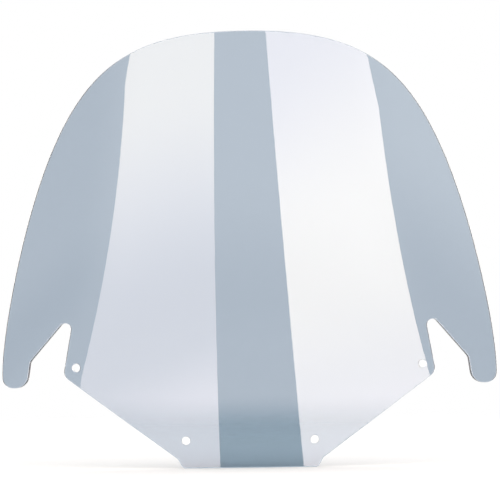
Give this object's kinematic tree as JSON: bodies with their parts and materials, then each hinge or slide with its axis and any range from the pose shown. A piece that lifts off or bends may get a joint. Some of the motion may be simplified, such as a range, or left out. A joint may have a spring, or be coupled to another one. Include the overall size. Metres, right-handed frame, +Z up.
{
  "type": "windshield screen",
  "caption": "Clear curved windshield screen for a touring motorcycle, a formed sheet with side wings, notches and holes for screws.",
  "frame": {"origin": "middle of the bounding box across and in depth, at the height of the bottom edge", "axes": "+X across the screen, to the right as seen from the front; +Z up along the screen; -Y out of the convex front that meets the wind"},
  "size_m": [0.634, 0.1102, 0.5547],
  "materials": {
    "clear_sheet": "clear polycarbonate with a light blue-grey tint, hard coated and glossy on both faces, with a polished rim"
  },
  "bodies": {
    "root": {"screen_panel": "clear_sheet"}
  },
  "joints": []
}
